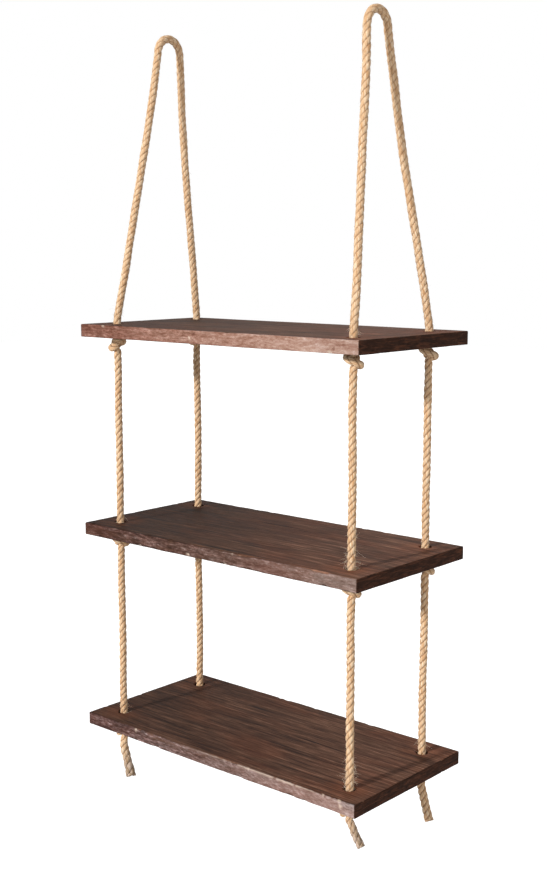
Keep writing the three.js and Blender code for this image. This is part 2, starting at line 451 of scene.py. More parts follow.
def spaced(line, step, *values):
    """The line in even steps, and the values along it."""
    along = lengths_along(line)
    at = np.linspace(0, along[-1], max(2, round(along[-1] / step)) + 1)
    even = np.stack([np.interp(at, along, line[:, k]) for k in range(3)], axis=1)
    return (even, *(np.interp(at, along, value) for value in values))


def softened(line, rounds):
    """The line with small kinks eased, its ends kept."""
    line = line.copy()
    for _ in range(rounds):
        line[1:-1] = (line[:-2] + 2 * line[1:-1] + line[2:]) / 4
    return line


def sections(line):
    """Two directions across the line at each point, without a twist."""
    tangent = unit(np.gradient(line, axis=0))
    across = np.empty_like(tangent)
    side = np.array([1.0, 0, 0])
    for i, t in enumerate(tangent):
        side = side - t * side.dot(t)
        side /= np.linalg.norm(side)
        across[i] = side
    return tangent, across, np.cross(tangent, across)


WANDER_WAVES = ((1, 1), (0.43, 0.25))  # each wave's length and size, as shares


def wander(line, seed, wavelength, size):
    """A slow sideways wander along a rope, in two directions."""
    along = lengths_along(line)
    draw = random.Random(seed)
    moves = []
    for _ in range(2):
        total = np.zeros_like(along)
        for share, part in WANDER_WAVES:
            total += part * np.sin(2 * pi * (along / (wavelength * share) + draw.random()))
        moves.append(size * total / sum(part for _, part in WANDER_WAVES))
    return np.stack(moves, axis=1)


# Laid rope, of three strands

LAY = 25  # length of rope in which a strand goes once round
OUTER_POINTS = 13  # points on the side of a strand that shows
STRAND_HALF = radians(60.4)  # half the angle that a strand fills
GROOVE_SHARE = 0.24  # how deep the grooves between strands are, of the radius
GROOVE_POWER = 2.3  # higher for flatter strands
WEDGE_SHARES = (0.9, 0, -0.9)  # angles of a strand's hidden wedge, of STRAND_HALF
WEDGE_REACHES = (0.45, 0.12, 0.45)  # how far out its points lie, of the radius
YARN_TWIST = 0.12  # how much faster than its strand a yarn turns
YARN_RELIEF = 0.012
YARN_WAVES = ((15, 1, 0), (23, 0.6, 2))  # how many, how high, and from what angle

# The size of each change along a rope as a share, and its length
LAY_WAVE = (0.06, 37)
THICKNESS_WAVE = (0.018, 11)
STRAND_WAVE = (0.025, 7.3)
WAVE_STARTS = 6

# At a loose end: from how far before the tip, and to where it is full
OPEN_SPAN = (24, 0)
AGED_SPAN = (52, 12)
SWOLLEN_SPAN = (58, 36)
CUT_SPAN = (7, 0)
CUT_ALONG = np.array([-0.55, 0.71, -0.44])  # a direction in the plane of each cut
CUT_SHIFTS = (-1.6, 0.2)  # how far a strand's end lies past that plane
OPEN_LAY = 0.7  # how much longer the lay is where the strands open
OPEN_THICKER = 0.1
OPEN_APART = 0.16
OPEN_WIDER = 0.12
AGED_SMOOTH = 0.1
END_BULGE = 0.2

# The painted shade in a groove, by a point's reach, and at the first and last point of a strand
SHADE_SPAN = (0.72, 0.97)
SMOOTH_SHADE = 0.8
END_SHADES = [0.5, 0.7]

# Where each strand and each rope takes the fibre texture from
STRAND_SHIFT = 23.0
ROPE_SHIFT = 400
ROPE_SHIFTS = 17

# Rope that would stand in a board this far from the hole's middle lies flat under it
PRESSED_FROM = 6.6
PRESSED_GAP = 0.1
PRESSED_HEIGHT = 4
PRESSED_SHARE = 0.02


def strand_outline():
    """A strand's points: their angles, their reaches, and how deep in the groove each lies."""
    places = np.linspace(-1, 1, OUTER_POINTS)
    outer = 1 - GROOVE_SHARE * np.abs(places) ** GROOVE_POWER
    angles = np.concatenate([places, WEDGE_SHARES]) * STRAND_HALF
    reaches = np.concatenate([outer, WEDGE_REACHES])
    return angles, reaches, np.concatenate([1 - outer, np.zeros(len(WEDGE_REACHES))])


STRAND_ANGLES, STRAND_REACHES, STRAND_GROOVE = strand_outline()
STRAND_POINTS = len(STRAND_ANGLES)

# What fuzz grows from: each strand's points and the directions from its middle
Source = namedtuple("Source", "strands tangent along")


def wave(along, draw, size, length):
    """1 with a small wave along a rope."""
    return 1 + size * np.sin(along / length + draw.random() * WAVE_STARTS)


def cut_slanted(points, line, tangent, to_end, shift):
    """Moves the last points of a strand onto the slanted plane of the rope's cut."""
    across_cut = unit(tangent[-1] - (tangent[-1] @ CUT_ALONG) * CUT_ALONG)
    slope = (points - line[:, None, :]) @ across_cut / (tangent[-1] @ across_cut)
    move = (shift - slope) * near_edge(-to_end, 0, *CUT_SPAN)[:, None]
    points += move[:, :, None] * tangent[:, None, :]


def press_flat(points, middle, undersides):
    """Lays rope that would stand in a board flat against its underside."""
    away = np.hypot(points[:, 0] - middle[0], points[:, 1] - middle[1])
    for low in undersides:
        inside = (points[:, 2] > low) & (points[:, 2] < low + PRESSED_HEIGHT)
        inside &= away > PRESSED_FROM
        points[inside, 2] = low - PRESSED_SHARE * (points[inside, 2] - low)


def strand_faces(first, rings):
    """The faces of a strand whose points start at first, with its two end points last."""
    made = ring_faces(first, rings, STRAND_POINTS)
    last = first + (rings - 1) * STRAND_POINTS
    low_end, high_end = last + STRAND_POINTS, last + STRAND_POINTS + 1
    for side in range(STRAND_POINTS):
        other = (side + 1) % STRAND_POINTS
        made.append((first + other, first + side, low_end))
        made.append((last + side, last + other, high_end))
    return made


def laid_rope(name, line, radius, seed, smooth, flare=0, old=0, swollen=0, undersides=()):
    """A rope of three strands, and what its fuzz grows from."""
    draw = random.Random(seed)
    along = lengths_along(line)
    tangent, across, over = sections(line)
    to_end = along[-1] - along
    opened = flare * near_edge(-to_end, 0, *OPEN_SPAN)
    aged = old * near_edge(-to_end, 0, *AGED_SPAN)

    lay = LAY * wave(along, draw, *LAY_WAVE) * (1 + OPEN_LAY * opened)
    turn = 2 * pi * np.concatenate([[0], np.cumsum(np.diff(along) / lay[1:])])
    turn += draw.random() * WAVE_STARTS
    thick = radius * wave(along, draw, *THICKNESS_WAVE)
    thick *= (1 + OPEN_THICKER * opened) * (1 + swollen * near_edge(-to_end, 0, *SWOLLEN_SPAN))
    shallow = STRAND_REACHES + (smooth + AGED_SMOOTH * aged)[:, None] * STRAND_GROOVE
    apart = (thick * OPEN_APART * opened)[:, None]
    wider = (1 + OPEN_WIDER * opened)[:, None]

    vertices, faces, fibre, strands = [], [], [], []
    for strand in range(3):
        phase = turn + 2 * pi * strand / 3
        out = np.cos(phase)[:, None] * across + np.sin(phase)[:, None] * over
        around = -np.sin(phase)[:, None] * across + np.cos(phase)[:, None] * over
        fixed = STRAND_ANGLES[None, :] + YARN_TWIST * phase[:, None] + phase[:, None]
        yarn = 1 + YARN_RELIEF * sum(
            height * np.cos(yarns * fixed + start) for yarns, height, start in YARN_WAVES)
        reach = (thick * wave(along, draw, *STRAND_WAVE))[:, None] * shallow * yarn
        outward = reach * np.cos(STRAND_ANGLES)[None, :] + apart
        sideways = reach * np.sin(STRAND_ANGLES)[None, :] * wider
        points = (
            line[:, None, :] + outward[:, :, None] * out[:, None, :]
            + sideways[:, :, None] * around[:, None, :]
        )
        if flare:
            cut_slanted(points, line, tangent, to_end, flare * draw.uniform(*CUT_SHIFTS))
        ends = [points[0].mean(axis=0) - END_BULGE * tangent[0],
                points[-1].mean(axis=0) + END_BULGE * tangent[-1]]
        flat = points.reshape(-1, 3)
        press_flat(flat, line[0], undersides)
        faces.extend(strand_faces(len(vertices), len(line)))
        vertices.extend([*flat, *ends])
        texture_places = np.stack([
            STRAND_SHIFT * strand + ROPE_RADIUS * np.cos(fixed), ROPE_RADIUS * np.sin(fixed),
            np.broadcast_to(along[:, None], fixed.shape) + ROPE_SHIFT * (seed % ROPE_SHIFTS),
        ], axis=-1).reshape(-1, 3)
        fibre.extend([*texture_places, texture_places[0], texture_places[-1]])
        strands.append((points, out, around))

    # The depth values carry painted shade: low in the grooves between strands and at the strands'
    # ends
    shade = 1 - (1 - SMOOTH_SHADE * smooth) * (1 - smoothstep(STRAND_REACHES, *SHADE_SPAN))
    depth = [*np.tile(shade, len(line)), *END_SHADES] * 3
    age = [*np.repeat(aged, STRAND_POINTS), 0, old] * 3
    rope = new_object(name, vertices, faces, ROPE, {"fibre": fibre, "depth": depth, "age": age})
    return rope, Source(strands, tangent, along)


# Loose fibres

FIBRES_PER_MM = 0.9
FIBRE_LIFT = 0.75
FIBRE_LENGTHS = (1.4, 4.2)
FIBRE_WIDTHS = (0.06, 0.11)
LONG_LIFT = 1.1
LONG_SHORTEST = 2.5
LONG_WIDTHS = (0.1, 0.19)
TUFT_LENGTHS = (1.0, 2.4)
TUFT_WIDTHS = (0.07, 0.14)
HAIR_SUNK = 0.3  # how deep in the rope a fibre starts
TUFT_SUNK = 0.6
HAIR_STEPS = 4
HAIR_TAPER = 0.75
HAIR_BENDS = ((-0.5, 0.5), (-0.5, 0.5), (-0.6, 0.15))
TUFT_BENDS = ((-0.25, 0.25),) * 3
HAIR_TONE_STEP = 0.37
HAIR_TONES = 40


def add_hair(made, start, heading, bends, length, width):
    """A thin tapered tube of three sides that bends as it goes."""
    first = len(made.vertices)
    side = np.cross(heading, bends)
    side = side / max(np.linalg.norm(side), 1e-6)
    up = np.cross(heading, side)
    for step in range(HAIR_STEPS + 1):
        share = step / HAIR_STEPS
        middle = start + heading * length * share + bends * length * share**2
        reach = width * (1 - HAIR_TAPER * share)
        for corner in range(3):
            angle = 2 * pi * corner / 3
            made.vertices.append(
                middle + reach * (cos(angle) * side + sin(angle) * up))
            made.fibre.append((first * HAIR_TONE_STEP % HAIR_TONES, share, length))
    top = first + 3 * HAIR_STEPS
    made.faces += [
        *ring_faces(first, HAIR_STEPS + 1, 3),
        (first + 2, first + 1, first), (top, top + 1, top + 2),
    ]


def hair_on_side(made, ring, length, width, lift):
    """A fibre that stands off the side of a strand."""
    draw, tangent = made.draw, made.source.tangent[ring]
    points, out, around = made.source.strands[draw.randrange(3)]
    side = draw.randrange(2, OUTER_POINTS - 2)
    angle = STRAND_HALF * (2 * side / (OUTER_POINTS - 1) - 1)
    outward = unit(cos(angle) * out[ring] + sin(angle) * around[ring])
    heading = unit(
        outward * lift * draw.uniform(0.4, 1.2) + tangent * draw.uniform(-1.3, 1.3)
        + np.cross(outward, tangent) * draw.uniform(-0.9, 0.9)
    )
    bends = np.array([draw.uniform(*span) for span in HAIR_BENDS])
    add_hair(made, points[ring, side] - HAIR_SUNK * outward, heading, bends, length, width)


def hair_in_cut(made):
    """A fibre that stands out of the cut of a loose end."""
    draw, tangent = made.draw, made.source.tangent[-1]
    points = made.source.strands[draw.randrange(3)][0][-1]
    middle = points.mean(axis=0)
    outward = points[draw.randrange(OUTER_POINTS)] - middle
    start = middle + outward * draw.uniform(0.1, 1) - TUFT_SUNK * tangent
    heading = unit(tangent + 0.22 * outward * draw.uniform(-0.2, 1.0))
    bends = np.array([draw.uniform(*span) for span in TUFT_BENDS])
    add_hair(made, start, heading, bends, draw.uniform(*TUFT_LENGTHS), draw.uniform(*TUFT_WIDTHS))


def fuzz(name, source, seed, thick_spots, end_tuft=0):
    """Fibres all along a rope. A thick spot is a place, a reach, a number and the longest."""
    draw, along = random.Random(seed), source.along
    made = SimpleNamespace(source=source, draw=draw, vertices=[], faces=[], fibre=[])
    for _ in range(int(along[-1] * FIBRES_PER_MM)):
        hair_on_side(made, draw.randrange(len(along)), draw.uniform(*FIBRE_LENGTHS),
                     draw.uniform(*FIBRE_WIDTHS), FIBRE_LIFT)
    for centre, reach, number, longest in thick_spots:
        for _ in range(number):
            at = centre + draw.gauss(0, reach)
            if 0 < at < along[-1]:
                ring = min(int(np.searchsorted(along, at)), len(along) - 1)
                hair_on_side(made, ring, draw.uniform(LONG_SHORTEST, longest),
                             draw.uniform(*LONG_WIDTHS), LONG_LIFT)
    for _ in range(end_tuft):
        hair_in_cut(made)
    fibres = new_object(name, made.vertices, made.faces, FUZZ, {"fibre": made.fibre})
    return fibres


# The courses of the ropes

KNOTTED_SPACING = 5.7  # the turns of a tight knot press into each other
KNOTTED_RADIUS = 4.2
KNOTTED_SPAN = (KNOTTED_SPACING, 1.7 * KNOTTED_SPACING)

# How far from the middle of a knot and of a board a hanging rope is held, and where it is free
KNOT_HOLD = (10, 34)
BOARD_HOLD = (12, 50)
HOLE_PLAY = 0.55

# The same for a loop, above the top board and below its crown, and where the crown thickens
LOOP_FOOT_HOLD = (5, 60)
LOOP_CROWN_HOLD = (30, 80)
CROWN_SPAN = (-16, 4)
CROWN_THICKER = 0.03
CROWN_POINTS = 15

# The length and the size of the ropes' wander, and how often each line is softened
HANGING_WANDER = (320, 0.9)
LOOP_WANDER = (330, 0.9)
HANGING_ROUNDS = 6
LOOP_ROUNDS = 10


def knot_middle(face):
    return face - THICKNESS - KNOT_CENTRE_DROP


def knot_line():
    """A knot's centre line about its middle, from its board's top face down."""
    def point(aside, down, forward):
        return np.array([aside, forward, -down]) * KNOTTED_SPACING
    lower = [point(*share) for share in KNOT_ROUTE]
    upper = [np.array([p[0], -p[1], -p[2]]) for p in lower[1:]]
    neck_top = np.array([0, 0, THICKNESS + KNOT_CENTRE_DROP])
    neck_foot = neck_top - (0, 0, STRAIGHT_RUN)
    end = np.array([0, 0, -KNOT_ROUTE[-1][1] * TURN_SPACING - STRAIGHT_RUN])
    return curve_through([neck_top, neck_foot, *upper[::-1], *lower, end])


KNOT_LINE = knot_line()


def turned(points, degrees):
    c, s = cos(radians(degrees)), sin(radians(degrees))
    return points @ np.array([[c, s, 0], [-s, c, 0], [0, 0, 1]])


def loose_end_line(corner, foot):
    lean_x, lean_y = corner["lean"]
    points = [foot]
    for side, drop in TAIL_SHARES:
        share = side + corner["early"] * (1 - drop)
        fall = STRAIGHT_RUN + (corner["tail"] - STRAIGHT_RUN) * drop
        points.append(foot + (lean_x * share, lean_y * share, -fall))
    return curve_through(points)


def hanging_line(corner, seed):
    """The centre line from the top board's hole to the loose end, and the radius on it."""
    hole = (corner["x"] * HOLE_X, corner["y"] * HOLE_Y)
    swell = smoothstep(np.abs(KNOT_LINE[:, 2]), *KNOTTED_SPAN)
    parts, radii = [], []
    for face, turn in zip(TIERS.values(), corner["turns"]):
        parts.append(turned(KNOT_LINE, turn) + (*hole, knot_middle(face)))
        radii.append(KNOTTED_RADIUS + (ROPE_RADIUS - KNOTTED_RADIUS) * swell)
    parts.append(loose_end_line(corner, parts[-1][-1] - (0, 0, MEET_GAP)))
    radii.append(np.full(len(parts[-1]), ROPE_RADIUS))
    line, radius = spaced(np.vstack(parts), FINE_STEP, np.concatenate(radii))
    keep = line[:, 2] < TIERS["top"] - STRAIGHT_RUN
    line, radius = line[keep], radius[keep]

    # The rope hangs a little off straight between the knots
    free = np.ones(len(line))
    for face in TIERS.values():
        from_board = np.abs(line[:, 2] - face + THICKNESS / 2)
        free = np.minimum(free, smoothstep(np.abs(line[:, 2] - knot_middle(face)), *KNOT_HOLD))
        free = np.minimum(free, np.maximum(HOLE_PLAY, smoothstep(from_board, *BOARD_HOLD)))
    line[:, :2] += wander(line, seed, *HANGING_WANDER) * free[:, None]
    return spaced(softened(line, HANGING_ROUNDS), RING_STEP, radius)


def loop_line(side, seed):
    """The centre line from the front hole over the hook to the rear hole, and its radius."""
    crown = [
        (side * CROWN_X, CROWN_RADIUS * sin(a), CROWN_CENTRE_Z + CROWN_RADIUS * cos(a))
        for a in np.linspace(-CROWN_HALF_ANGLE, CROWN_HALF_ANGLE, CROWN_POINTS)
    ]
    face = TIERS["top"]
    legs = []
    for y, crown_end in ((-1, crown[0]), (1, crown[-1])):
        slope = np.array([0, y * cos(CROWN_HALF_ANGLE), -sin(CROWN_HALF_ANGLE)])
        start = np.array(crown_end) + PIVOT_GAP * slope
        bend_in = start + STRAIGHT_RUN * slope
        end = np.array([side * HOLE_X, y * HOLE_Y, face + PIVOT_GAP])
        bend_out = end + (0, 0, STRAIGHT_RUN)
        middle = [
            bend_in + (bend_out - bend_in) * (drop, spread, drop) for spread, drop in LEG_SHARES
        ]
        legs.append(np.vstack([
            curve_through([start, bend_in, *middle, bend_out, end]),
            end - (0, 0, PIVOT_GAP + STRAIGHT_RUN),
        ]))
    line = np.vstack([legs[0][::-1], curve_through(crown), legs[1]])
    line = spaced(line, FINE_STEP)[0]
    low, high = (face + height for height in LOOP_FOOT_HOLD)
    free = smoothstep(-line[:, 2], *LOOP_CROWN_HOLD) * smoothstep(line[:, 2], low, high)
    line[:, :2] += wander(line, seed, *LOOP_WANDER) * free[:, None]
    line = spaced(softened(line, LOOP_ROUNDS), RING_STEP)[0]
    return line, ROPE_RADIUS * (1 + CROWN_THICKER * smoothstep(line[:, 2], *CROWN_SPAN))


# The ropes

LOOP_LINE_SEED, LOOP_ROPE_SEED, LOOP_FUZZ_SEED = 31, 51, 71
HANGING_LINE_SEED, HANGING_ROPE_SEED, HANGING_FUZZ_SEED = 11, 91, 111
LOOP_SMOOTH = 0.42  # how much shallower the grooves of a loop are
HANGING_SMOOTH = 0.08
FRONT_FOOT_FUZZ = (10, 11, 30, 7)
REAR_FOOT_FUZZ = (10, 9, 14, 6)  # its place is from the rear end
FUZZ_ABOVE = 9  # how far above a board its rope has most fibres
FUZZ_REACH = 9
FUZZ_LONGEST = 7.5
LONG_SHIFT, LONG_REACH, LONG_LONGEST = -12, 16, 11
TUFT_LEAST = 15
TUFT_MORE = 70


def make_loop(side, x, index):
    line, radius = loop_line(x, LOOP_LINE_SEED + index)
    rope, source = laid_rope(
        f"{side}_loop_rope", line, radius, LOOP_ROPE_SEED + index, LOOP_SMOOTH)
    rear_end = source.along[-1]
    spots = [FRONT_FOOT_FUZZ, (rear_end - REAR_FOOT_FUZZ[0], *REAR_FOOT_FUZZ[1:])]
    hairs = fuzz(f"{side}_loop_fibres", source, LOOP_FUZZ_SEED + index, spots)
    for piece in (rope, hairs):
        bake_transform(piece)
    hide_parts(f"{side}_loop_crown", f"{side}_front_loop_leg", f"{side}_rear_loop_leg")


def make_hanging_rope(name, corner, index):
    line, radius = hanging_line(corner, HANGING_LINE_SEED + index)
    rope, source = laid_rope(
        f"{name}_hanging_rope", line, radius, HANGING_ROPE_SEED + index, HANGING_SMOOTH,
        corner["flare"], corner["old"], corner["swollen"],
        [face - THICKNESS - PRESSED_GAP for face in TIERS.values()],
    )
    spots = []
    for tier, fibres in zip(("middle", "bottom"), corner["fibres"]):
        height = TIERS[tier] + FUZZ_ABOVE
        at = source.along[int(np.argmin(np.abs(line[:, 2] - height)))]
        spots.append((at, FUZZ_REACH, fibres, FUZZ_LONGEST))
        spots.append((at + LONG_SHIFT, LONG_REACH, corner["long_fibres"], LONG_LONGEST))
    tuft = TUFT_LEAST + int(TUFT_MORE * corner["flare"])
    hairs = fuzz(f"{name}_rope_fibres", source, HANGING_FUZZ_SEED + index, spots, tuft)
    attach(rope, "hanging_ropes")
    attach(hairs, "hanging_ropes")
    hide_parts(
        f"top_{name}_knot", f"upper_{name}_rope", f"middle_{name}_knot",
        f"lower_{name}_rope", f"bottom_{name}_knot", f"{name}_tail",
    )


for index, (side, x) in enumerate((("left", -1), ("right", 1))):
    make_loop(side, x, index)
for index, (name, corner) in enumerate(CORNERS.items()):
    make_hanging_rope(name, corner, index)

# The boards

BOARD_SEED = 201
BOARD_SEED_STEP = 10
EDGE_STEP = 2.4  # between two points along an edge
FACE_STEP = 6.0  # between two points inside a face
FACE_JITTER = 1.5
FACE_MARGIN = 3
CORNER_RADIUS = 1.6
CORNER_POINTS = 5
EASE_ANGLES = np.radians([0, 22, 45, 68, 90])
RIM_INSETS = (11.0, 5.0, 2.6)  # rows of points on a face near its edge
SIDE_SHARES = (0.18, 0.36, 0.54, 0.72, 0.87)  # rows on the side, from the top down

# A hole's points, how far out and down its worn mouth goes, and the faces' distance from it
HOLE_POINTS = 40
HOLE_PROFILE = [(4.0, 0), (1.1, 0), (0.55, 0.12), (0.18, 0.42), (0.0, 0.95)]
HOLE_RAGGED = 0.25
HOLE_DIP = 0.1
HOLE_COVER = HOLE_RADIUS + 3.9
HOLE_MARGIN = HOLE_RADIUS + 6.5

# Pairs are for a board's left and right end: the wear and paleness of its front edge, and the
# tones of its top face and front edge. Rough is how rough the front edge is, grey and grey_end
# how weathered at its right, and pale_rim how pale its upper rim. The chips are the pale ones in
# the photograph: place along the front, height, reach and depth.
# The top face's tone is partly painted light: set apart from SIDE_TONE to make up for the low main
# light, with painted shade toward the left end and painted sheen toward the right, on top of stain
# that varies.
LOOKS = {
    "top": dict(
        wear=(0.85, 1.0), pale=(0.3, 1.15), face=(0.48, 1.36),
        edge=((0.84, 0.66, 0.59), (0.98, 1.05, 1.1)),
        rough=0.3, grey=0.0, grey_end=0, pale_rim=0,
        chips=[(177, -15, 3.4, 1.3), (-27, -9, 2.0, 0.5)]),
    "middle": dict(
        wear=(0.4, 0.85), pale=(-0.1, 0.45), face=(0.26, 1.56),
        edge=((0.54, 0.48, 0.45), (0.88, 0.93, 0.95)),
        rough=1.0, grey=0.3, grey_end=0, pale_rim=0,
        chips=[(-33, -13, 2.6, 1.4)]),
    "bottom": dict(
        wear=(0.6, 0.9), pale=(-0.1, 0.6), face=(0.62, 1.44),
        edge=((0.62, 0.62, 0.64), (1.16, 1.24, 1.34)),
        rough=0.75, grey=0.4, grey_end=0.8, pale_rim=0.6,
        chips=[(-128, -2, 2.8, 1.0), (196, -7, 2.4, 0.8)]),
}

# Other chips, by the edge that they are in: how many, how long and how deep
FRONT_CHIPS = dict(count=32, reach=(2.5, 11), depth=(0.5, 1.7))
REAR_CHIPS = dict(count=12, reach=(2.5, 9), depth=(0.4, 1.2))
END_CHIPS = dict(count=8, reach=(1.5, 5), depth=(0.4, 1.0))
PALE_CHIP_REACH = (1.6, 3.4)
PALE_CHIP_SHARE = 0.06
HIGH_CHIP_SHARE = 0.6
CHIP_INSET = 14  # the least distance from a corner
CHIP_ACROSS = 2.2
CHIP_UP = 2.4
CHIP_LIGHT = 1.6

Chip = namedtuple("Chip", "x y z reach depth pale")


def soft_noise(x, y, z, seed):
    return noise.noise(Vector((x + 17.3 * seed, y - 9.1 * seed, z + 3.7 * seed)))


def outline_points():
    """Points round a board with rounded corners, each with its outward direction."""
    r = CORNER_RADIUS
    made = []
    for sx, sy, start in ((1, -1, -90), (1, 1, 0), (-1, 1, 90), (-1, -1, 180)):
        cx, cy = sx * (HALF_LENGTH - r), sy * (HALF_DEPTH - r)
        for degrees in np.linspace(start, start + 90, CORNER_POINTS):
            a = radians(degrees)
            made.append((cx + r * cos(a), cy + r * sin(a), cos(a), sin(a)))
    points = []
    for here, there in zip(np.array(made), np.roll(made, -1, axis=0)):
        count = max(1, round(dist(here[:2], there[:2]) / EDGE_STEP))
        points += [(here + (there - here) * (k / count)).tolist() for k in range(count)]
    return points


OUTLINE = outline_points()
HOLES = [(corner["x"] * HOLE_X, corner["y"] * HOLE_Y) for corner in CORNERS.values()]


def board_chips(look, seed):
    """Small scoops out of a board's edges."""
    draw = random.Random(seed)
    levels = (0, -THICKNESS)
    chips = [Chip(x, -HALF_DEPTH, z, reach, depth, True) for x, z, reach, depth in look["chips"]]
    for _ in range(round(FRONT_CHIPS["count"] * look["rough"])):
        x = draw.uniform(CHIP_INSET - HALF_LENGTH, HALF_LENGTH - CHIP_INSET)
        z = levels[0] if draw.random() < HIGH_CHIP_SHARE else levels[1]
        pale = draw.random() < PALE_CHIP_SHARE
        reach = draw.uniform(*(PALE_CHIP_REACH if pale else FRONT_CHIPS["reach"]))
        depth = draw.uniform(*FRONT_CHIPS["depth"]) * (0.3 + 0.7 * look["rough"])
        chips.append(Chip(x, -HALF_DEPTH, z, reach, depth, pale))
    for kind in (REAR_CHIPS, END_CHIPS):
        for _ in range(kind["count"]):
            if kind is REAR_CHIPS:
                x, y = draw.uniform(-HALF_LENGTH, HALF_LENGTH), HALF_DEPTH
            else:
                y = draw.uniform(CHIP_INSET - HALF_DEPTH, HALF_DEPTH - CHIP_INSET)
                x = draw.choice((-1, 1)) * HALF_LENGTH
            z, reach = draw.choice(levels), draw.uniform(*kind["reach"])
            chips.append(Chip(x, y, z, reach, draw.uniform(*kind["depth"]), False))
    return chips


def face_dip(board, x, y):
    broad = 0.5 + 0.5 * soft_noise(x / 90, y / 26, 0, board.seed)
    small = 0.5 + 0.5 * soft_noise(x / 30, y / 5, 1, board.seed)
    return 0.22 * broad + 0.05 * small


def ease(board, x, y, top):
    more = board.look["rough"] if y < 3 - HALF_DEPTH else 0.4
    uneven = soft_noise(x / 23, y / 23, 2 if top else 3, board.seed)
    wanted = 0.7 + more * (0.9 + 1.3 * max(-0.5, uneven))
    at_corner = HALF_LENGTH - abs(x) < 5 and HALF_DEPTH - abs(y) < 5
    return min(wanted, 0.9 * CORNER_RADIUS) if at_corner else wanted


def edge_rows(board):
    """Rows of points round the board, from its top face to its underside."""
    def half(top, level, down):
        made = []
        for inset in RIM_INSETS:
            small_x, small_y = 1 - inset / HALF_LENGTH, 1 - inset / HALF_DEPTH
            made.append([(x * small_x, y * small_y, level + down * face_dip(board, x, y))
                         for x, y, _, _ in OUTLINE])
        for c, s in zip(np.cos(EASE_ANGLES).tolist(), np.sin(EASE_ANGLES).tolist()):
            row = []
            for x, y, a, b in OUTLINE:
                eased = ease(board, x, y, top)
                inset, down_by = eased * (1 - s), eased * (1 - c) + face_dip(board, x, y) * c
                row.append((x - a * inset, y - b * inset, level + down * down_by))
            made.append(row)
        return made

    upper, lower = half(True, 0, -1), half(False, -THICKNESS, 1)
    sides = [
        [(x, y, high[2] + (low[2] - high[2]) * share)
         for (x, y, _, _), high, low in zip(OUTLINE, upper[-1], lower[-1])]
        for share in SIDE_SHARES
    ]
    return [*upper, *sides, *lower[::-1]]


def worn(board, x, y, z, facing, on_edge):
    """How far a point is worn back, and how light a chip makes it."""
    push, light = 0.0, 0.0
    if on_edge:
        scraped = 0.5 + 0.5 * soft_noise(x / 34, y / 34, z / 12, board.seed + 1)
        frayed = 0.5 + 0.5 * soft_noise(x / 6, y / 6, z / 1.6, board.seed + 2)
        front, rough = facing < -0.5, board.look["rough"]
        push = (0.1 + 0.5 * rough if front else 0.25) * scraped**2
        push += (0.08 + 0.22 * rough if front else 0.12) * frayed
    lengthwise = abs(facing) > 0.5
    for chip in board.chips:
        away = sqrt(
            ((x - chip.x) / (chip.reach if lengthwise else CHIP_ACROSS)) ** 2
            + ((y - chip.y) / (CHIP_ACROSS if lengthwise else chip.reach)) ** 2
            + ((z - chip.z) / CHIP_UP) ** 2
        )
        if away < 1:
            push += chip.depth * (1 - away * away)
            if chip.pale:
                light = max(light, min(1, CHIP_LIGHT * (1 - away)))
    return push, light


def add_edges(board):
    """Adds the edges. Returns the rows that the two faces start from."""
    rows = edge_rows(board)
    for index, row in enumerate(rows):
        on_edge = len(RIM_INSETS) <= index < len(rows) - len(RIM_INSETS)
        for (x, y, z), (_, _, nx, ny) in zip(row, OUTLINE):
            push, light = worn(board, x, y, z, ny, on_edge)
            inward = 0.0
            if push and (z > -3 or z < 3 - THICKNESS):
                inward = (-0.6 if z > -3 else 0.6) * push * (1 if on_edge else 0.5)
            board.vertices.append((x - nx * push, y - ny * push, z + inward))
            board.light.append(light)
    count = len(OUTLINE)
    last = (len(rows) - 1) * count
    board.faces += [(a, d, c, b) for a, b, c, d in ring_faces(0, len(rows), count)]
    return {True: range(count), False: range(last, last + count)}


def hole_row(board, cx, cy, out, drop, top):
    """A ring of a hole's wall. The one without a top or low face is half-way down."""
    row = []
    for k in range(HOLE_POINTS):
        angle = 2 * pi * k / HOLE_POINTS
        ragged = HOLE_RAGGED * max(0, soft_noise(
            cos(angle) * 2 + cx, sin(angle) * 2 + cy, 5, board.seed))
        r = HOLE_RADIUS + out + (ragged if out < 1 else 0)
        x, y = cx + r * cos(angle), cy + r * sin(angle)
        depth = drop + (face_dip(board, x, y) if out >= 1 else HOLE_DIP)
        z = {True: -depth, False: -THICKNESS + depth, None: -drop}[top]
        row.append((x, y, z))
    return row


def add_holes(board):
    """Adds the holes' mouths and walls. Returns the rings that meet the two faces."""
    levels = [(out, drop, True) for out, drop in HOLE_PROFILE]
    levels.append((0.0, THICKNESS / 2, None))
    levels += [(out, drop, False) for out, drop in HOLE_PROFILE[::-1]]
    mouths = {True: [], False: []}
    for cx, cy in HOLES:
        first = len(board.vertices)
        for level in levels:
            board.vertices.extend(hole_row(board, cx, cy, *level))
        last = len(board.vertices) - HOLE_POINTS
        board.light.extend([0.0] * (last + HOLE_POINTS - first))
        board.faces += ring_faces(first, len(levels), HOLE_POINTS)
        mouths[True].append(first)
        mouths[False].append(last)
    return mouths


